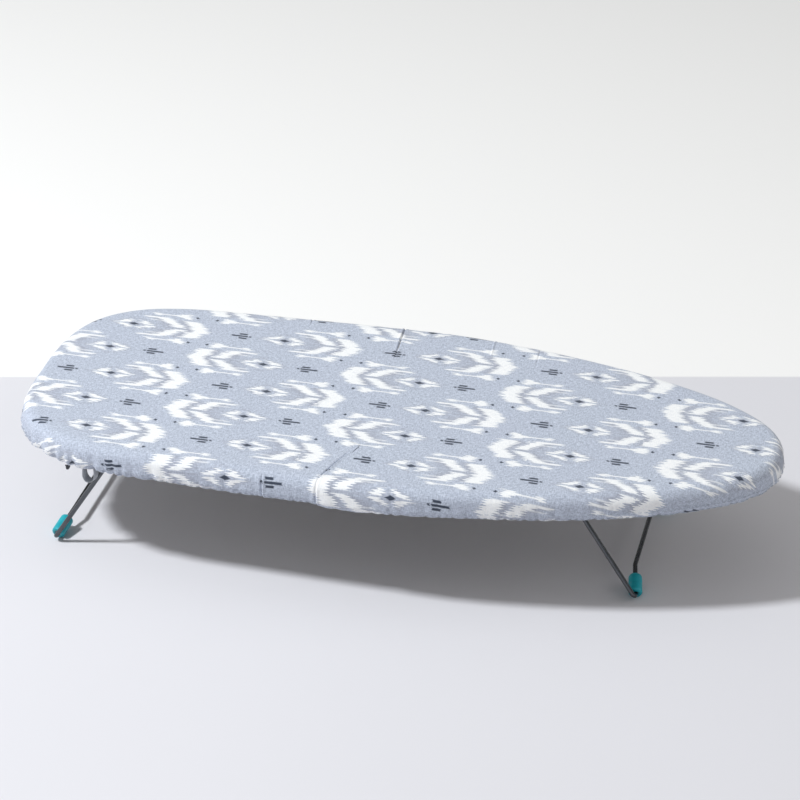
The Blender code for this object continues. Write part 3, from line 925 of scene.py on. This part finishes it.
def sweep(path, normal, radii, sides, closed=False):
    """A round rod along a path, with UVs (metres along, share of a turn). radii is one number, or one
    for each point."""
    bm = bmesh.new()
    layer = bm.loops.layers.uv.new("along")
    count = len(path)
    radii = radii if isinstance(radii, list) else [radii] * count
    rings, lengths = [], runs(path + path[:1])
    for k in range(count):
        before = path[k - 1] if k or closed else None
        after = path[(k + 1) % count] if k + 1 < count or closed else None
        along = ((after or path[k]) - (before or path[k])).normalized()
        across = along.cross(normal).normalized()
        upright = across.cross(along).normalized()
        rings.append(round_ring(bm, path[k], across, upright, radii[k], sides))
    turns = [m / sides for m in range(sides + 1)]
    for k in range(count if closed else count - 1):
        unwrap(bridge(bm, rings[k], rings[(k + 1) % count]), layer, lengths[k:k + 2], turns)
    if not closed:
        cap(bm, rings)
    return outward(bm)


def even_path(path, step):
    """The same path with a point at least every step."""
    found = [path[0]]
    for a, b in zip(path, path[1:]):
        parts = max(1, math.ceil((b - a).length / step))
        found += [a.lerp(b, k / parts) for k in range(1, parts + 1)]
    return found


def make_leg(label, leg, look):
    bends = [5 * MM, 4.2 * MM, 8 * MM, 8 * MM, 4.2 * MM, 5 * MM]
    path = even_path(rounded_path(leg_corners(leg), bends, 10), 12 * MM)
    tip = 0.5 * MM
    start, end = path[0], path[-1]
    path.insert(1, start.lerp(path[1], tip / (path[1] - start).length))
    path.insert(len(path) - 1, end.lerp(path[-2], tip / (path[-2] - end).length))
    radii = [WIRE_RADIUS] * len(path)
    radii[0] = radii[-1] = WIRE_RADIUS - 0.45 * MM
    add(
        f"wire_{label}", sweep(path, leg_normal(leg), radii, 24), look,
        body=f"{label}_leg", replaces=[f"leg_wire_{label}"],
    )


SLEEVE_RADIUS = 6.5 * MM
SLEEVE_LENGTH = 22 * MM
SLEEVE_START = 6.3 * MM


def sleeve_profile():
    """(radius, place along the sleeve), from the bore's inner end round the outside to its other end."""
    r, end, bore = SLEEVE_RADIUS, SLEEVE_LENGTH, WIRE_RADIUS + 0.12 * MM
    bend = 3.2 * MM
    profile = [(bore, 1.2 * MM), (bore + 0.5 * MM, 0.3 * MM), (bore + 1.1 * MM, 0), (r - 1.9 * MM, 0)]
    profile += [(r - 1.1 * MM, 0.15 * MM), (r - 0.45 * MM, 0.6 * MM), (r - 0.1 * MM, 1.3 * MM)]
    profile += [(r, 2.2 * MM), (r, end * 0.48), (r - 0.12 * MM, end * 0.5), (r, end * 0.52), (r, end - bend)]
    for k in range(1, 6):
        turn = math.radians(18 * k)
        profile.append((r - bend * (1 - math.cos(turn)), end - bend * (1 - math.sin(turn))))
    profile += [(bore + 0.25 * MM, end), (bore, end - 0.3 * MM)]
    return profile


def make_sleeve(label, leg, side, look):
    """A plastic foot sleeve: soft ends, a snug bore and a faint moulding line."""
    corners = leg_corners(leg)
    foot, bar = (corners[2], corners[3]) if side < 0 else (corners[5], corners[4])
    along = (bar - foot).normalized()
    normal = leg_normal(leg)
    across = along.cross(normal).normalized()
    bm = bmesh.new()
    rings = []
    sides = 48
    for radius, at in sleeve_profile():
        ring = []
        for k, t in enumerate(circle(sides)):
            seam = 0.10 * MM if k % (sides // 2) == 0 and radius > WIRE_RADIUS + 1.5 * MM else 0.0
            offset = (across * math.cos(t) + normal * math.sin(t)) * (radius + seam)
            ring.append(bm.verts.new(foot + along * (SLEEVE_START + at) + offset))
        rings.append(ring)
    skin(bm, rings + rings[:1])
    where = "near" if side < 0 else "far"
    add(
        f"sleeve_{label}_{where}", outward(bm), look,
        body=f"{label}_leg", replaces=[f"foot_sleeve_{label}_{where}"],
    )


# ---- pressed steel below the deck


def softened(node, width):
    """The CAD node's shape with its sharp edges rounded off."""
    bm = bmesh.new()
    bm.from_mesh(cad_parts[node].data)
    bmesh.ops.remove_doubles(bm, verts=bm.verts, dist=0.005 * MM)
    bmesh.ops.dissolve_limit(bm, angle_limit=math.radians(1), verts=bm.verts, edges=bm.edges)
    sharp = [e for e in bm.edges if len(e.link_faces) == 2 and e.calc_face_angle() > math.radians(35)]
    bmesh.ops.bevel(bm, geom=sharp, offset=width, segments=2, affect="EDGES", clamp_overlap=True)
    return bm


def make_pressed(node, name, look):
    piece = add(name, softened(node, 0.35 * MM), look, replaces=[node])
    piece.data.set_sharp_from_angle(angle=math.radians(40))


# A rivet head's section: the share of its radius, and the share of its height below its seat.
RIVET_DOME = ((0.94, 0), (1, 0.14), (0.97, 0.34), (0.86, 0.58), (0.66, 0.80), (0.40, 0.94), (0.14, 1))


def make_rivet(node, name, look):
    """A domed rivet head with a small rolled edge."""
    low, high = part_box(node)
    centre = (low + high) / 2
    radius = (high.x - low.x) / 2
    tall = high.z - low.z
    bm = bmesh.new()
    rings = []
    for share, drop in RIVET_DOME:
        r, z = radius * share, high.z - tall * drop
        places = [(centre.x + r * math.cos(t), centre.y + r * math.sin(t), z) for t in circle(28)]
        rings.append([bm.verts.new(place) for place in places])
    skin(bm, rings)
    cap(bm, rings)
    add(name, outward(bm), look, replaces=[node])


# ---- small soft parts

# A stitch's points in half lengths, and the rows: inset, height, number of stitches, thread radius.
STITCH_HALF = 1.8 * MM
STITCH_STEPS = (-1, -0.5, 0, 0.5, 1)
STITCH_ROWS = (
    (0.0, HEM_Z + 8.6 * MM, 330, 0.24 * MM),
    (1.5 * MM, HEM_Z + 3.7 * MM, 300, 0.30 * MM),
)

# The tape's section: points across its width, and out of its faces in half thicknesses.
TAPE_EDGE = ((-1, -1), (-0.5, -1.08), (0, -1.1), (0.5, -1.08), (1, -1))
TAPE_SECTION = TAPE_EDGE + tuple((-side, -face) for side, face in TAPE_EDGE)
TAPE_HALF_THICKNESS = 0.30 * MM
TAPE_STEPS = 48


def make_loop(look):
    """The tape loop below the hem."""
    low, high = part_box("hem_loop")
    centre = (low + high) / 2 - Vector((2.4 * MM, 0, 0))
    wide = (high.x - low.x) / 2 - 3.0 * MM
    tall = (high.z - low.z) / 2 + 0.4 * MM
    width = high.y - low.y
    path = []
    for k in range(TAPE_STEPS + 1):
        turn = math.radians(-155 + 310 * k / TAPE_STEPS)
        x, z = math.sin(turn), -math.cos(turn)
        path.append(Vector((wide * x * (0.86 + 0.14 * abs(z)), 0, tall * z)))
    bm = bmesh.new()
    layer = bm.loops.layers.uv.new("along")
    rings = []
    for k, p in enumerate(path):
        along = (path[min(k + 1, TAPE_STEPS)] - path[max(k - 1, 0)]).normalized()
        out = along.cross(Vector((0, 1, 0)))
        twist = 1.2 * MM * math.sin(math.pi * k / TAPE_STEPS)
        ring = []
        for side, face in TAPE_SECTION:
            aside = Vector((twist * side, width / 2 * side, 0))
            ring.append(bm.verts.new(centre + p + aside + out * face * TAPE_HALF_THICKNESS))
        rings.append(ring)
    run = runs(path)
    across = [m * 1.8 * MM for m in range(len(TAPE_SECTION) + 1)]
    for k in range(TAPE_STEPS):
        unwrap(bridge(bm, rings[k], rings[k + 1]), layer, run[k:k + 2], across)
    cap(bm, rings)
    add("hem_tape_loop", outward(bm), look, replaces=["hem_loop"])


def make_knot(look):
    """A small overhand knot in the end of the hem's cord."""
    low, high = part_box("hem_cord_knot")
    centre = (low + high) / 2 + Vector((2.2, -0.5, -3.4)) * MM
    path = []
    for t in circle(90):
        p = Vector((math.sin(t) + 2 * math.sin(2 * t), math.cos(t) - 2 * math.cos(2 * t), -math.sin(3 * t)))
        path.append(centre + Vector((p.x * 0.70, p.z * 0.75, p.y * 0.80)) * MM)
    cord = sweep(path, Vector((0.3, 1, 0.2)).normalized(), 0.75 * MM, 10, closed=True)
    add("hem_cord_end", cord, look, replaces=["hem_cord_knot"])


def make_stitching(look):
    """Two rows of stitches: one closes the hem's casing, and one runs along the hem's fold."""
    bm = bmesh.new()
    for inset, z, count, radius in STITCH_ROWS:
        for k in range(count):
            s = OUTLINE.length * (k + 0.5) / count
            points = []
            for j in STITCH_STEPS:
                points.append(stitch_point(s + STITCH_HALF * j, inset, z, 0.5 * math.cos(math.pi * j / 2)))
            thread(bm, points, radius)
    return add("hem_stitching", bm, look)


def stitch_point(s, inset, z, rise):
    """A place on the gathered hem, with a rise above the cloth in millimetres."""
    loose = gathers(s) * gather_share(s)
    swell = PUFF * loose * (0.50 if z > HEM_Z + 6 * MM else 0.66)
    p = OUTLINE.inside(s, inset - swell - (rise - 0.1) * MM)
    return Vector((p.x, p.y, z + hem_droop(s) * 0.35))


def thread(bm, points, radius):
    """A short thread through the points, thinner where it enters the cloth."""
    rings = []
    for k, p in enumerate(points):
        along = (points[min(k + 1, len(points) - 1)] - points[max(k - 1, 0)]).normalized()
        aside = along.cross(UP).normalized()
        small = radius * (0.55 if k in (0, len(points) - 1) else 1.0)
        rings.append(round_ring(bm, p, aside, UP, small, 6))
    bmesh.ops.recalc_face_normals(bm, faces=skin(bm, rings) + cap(bm, rings))


# ---- light and camera

# Where the floor turns whiter behind the board, in metres away from the camera, and the camera's turn.
BACK_EDGE = 0.285
TURN_COS, TURN_SIN = 0.9721, 0.2344

# The world's grey by how far a direction faces the key light: (place, level) of the ramp's two ends.
WORLD_LEVELS = ((0.0, 0.16), (0.85, 0.47))


def make_floor():
    """A pale matt ground, faintly clouded, that turns whiter behind the board."""
    bm = bmesh.new()
    bmesh.ops.create_grid(bm, x_segments=1, y_segments=1, size=9.0)
    look = Look("pale_floor", 0.75).set(Specular_IOR_Level=0.2)
    cloud = look.noise(look.coordinates(), 1.4, 2.0)
    near = look.mix(cloud, linear(228, 227, 232), linear(223, 222, 227))
    x, y = look.x_and_y()
    away = y * TURN_COS - x * TURN_SIN
    look.color(look.mix(away.above(BACK_EDGE, 4 * MM), near, linear(252, 251, 250)))
    new_mesh("floor", bm, look)


def area_light(name, place, target, size, power, color):
    data = bpy.data.lights.new(name, "AREA")
    data.shape = "DISK"
    data.size = size
    data.energy = power
    data.color = color
    light = new_object(name, data)
    light.location = place
    light.rotation_euler = (Vector(target) - Vector(place)).to_track_quat("-Z", "Y").to_euler()


def make_lights():
    """A key light from the wide end, a weak one at the nose, and a world brighter towards the key."""
    toward_light = Vector((-0.73, -0.34, 1.0)).normalized()
    area_light("key", toward_light * 3.8, (0, 0, 0.1), 0.42, 120, (0.95, 0.98, 1.0))
    area_light("nose_fill", (2.4, 0.2, 1.3), (0.1, 0, 0.05), 1.6, 11, (1.0, 0.99, 0.97))
    world = bpy.data.worlds.new("studio")
    world.use_nodes = True
    tree = world.node_tree
    facing = tree.nodes.new("ShaderNodeVectorMath")
    facing.operation = "DOT_PRODUCT"
    facing.inputs[1].default_value = toward_light
    feed(facing.inputs[0], tree.nodes.new("ShaderNodeTexCoord").outputs["Generated"])
    bands = tree.nodes.new("ShaderNodeValToRGB")
    feed(bands.inputs["Fac"], facing.outputs["Value"])
    feed(tree.nodes["Background"].inputs["Color"], bands.outputs["Color"])
    for element, (place, level) in zip(bands.color_ramp.elements, WORLD_LEVELS):
        element.position = place
        element.color = (level, level, level * 0.985, 1.0)
    bpy.context.scene.world = world
    bpy.context.scene.view_settings.view_transform = "Standard"


def make_camera():
    """A long lens, about 30 degrees above the table, a little to the nose's side."""
    right = Vector((0.97213, 0.23443, 0.0))
    forward = Vector((-0.20330, 0.84304, -0.49794))
    up = right.cross(forward)
    data = bpy.data.cameras.new("camera")
    data.sensor_width = 36
    data.lens = 126
    data.clip_start = 0.05
    data.clip_end = 60
    camera = new_object("camera", data)
    turn = Matrix((right, up, -forward)).transposed().to_4x4()
    camera.matrix_world = Matrix.Translation((0.54235, -2.26084, 1.47)) @ turn
    bpy.context.scene.camera = camera


# ---- the scene


def dress():
    steel = zinc("deck_steel_look", linear(196, 198, 201), 0.30, 0.50)
    # The same zinc as the deck's, made darker: painted shade for the leg brackets and rivets, which sit in
    # the shadow under the board.
    shaded_zinc = zinc("zinc_painted_shade_look", linear(150, 152, 156), 0.25, 0.45)
    wire = drawn_wire()
    plastic = sleeve_plastic()
    cover, wrap = make_cover(cotton_print())
    make_pad(felt("pad_felt_look", linear(222, 218, 208), linear(186, 180, 168)))
    make_deck(steel)
    make_rim_tube(rim_paint())
    make_elastic(tape("elastic_look", linear(222, 223, 226), linear(176, 178, 184), 1.3 * MM))
    stitching = make_stitching(tape("thread_look", linear(192, 199, 212), linear(160, 167, 180), 0.8 * MM))
    for where in ("wide", "middle", "nose"):
        make_pressed(f"cross_brace_{where}", f"brace_{where}", steel)
    for label, leg in LEGS.items():
        make_leg(label, leg, wire)
        for side, where in ((-1, "near"), (1, "far")):
            make_sleeve(label, leg, side, plastic)
            make_pressed(f"leg_bracket_{label}_{where}", f"bracket_{label}_{where}", shaded_zinc)
            for k in (1, 2):
                make_rivet(f"rivet_{label}_{where}_{k}", f"rivet_head_{label}_{where}_{k}", shaded_zinc)
    make_loop(tape("loop_look", linear(214, 218, 224), linear(168, 172, 180), 1.3 * MM))
    make_knot(tape("knot_look", linear(112, 114, 120), linear(44, 45, 50), 0.9 * MM))
    2 * (HALF_WIDTH + wrap)
    LENGTH + 2 * wrap
    cut_area(wrap)


make_camera()
make_floor()
make_lights()
dress()
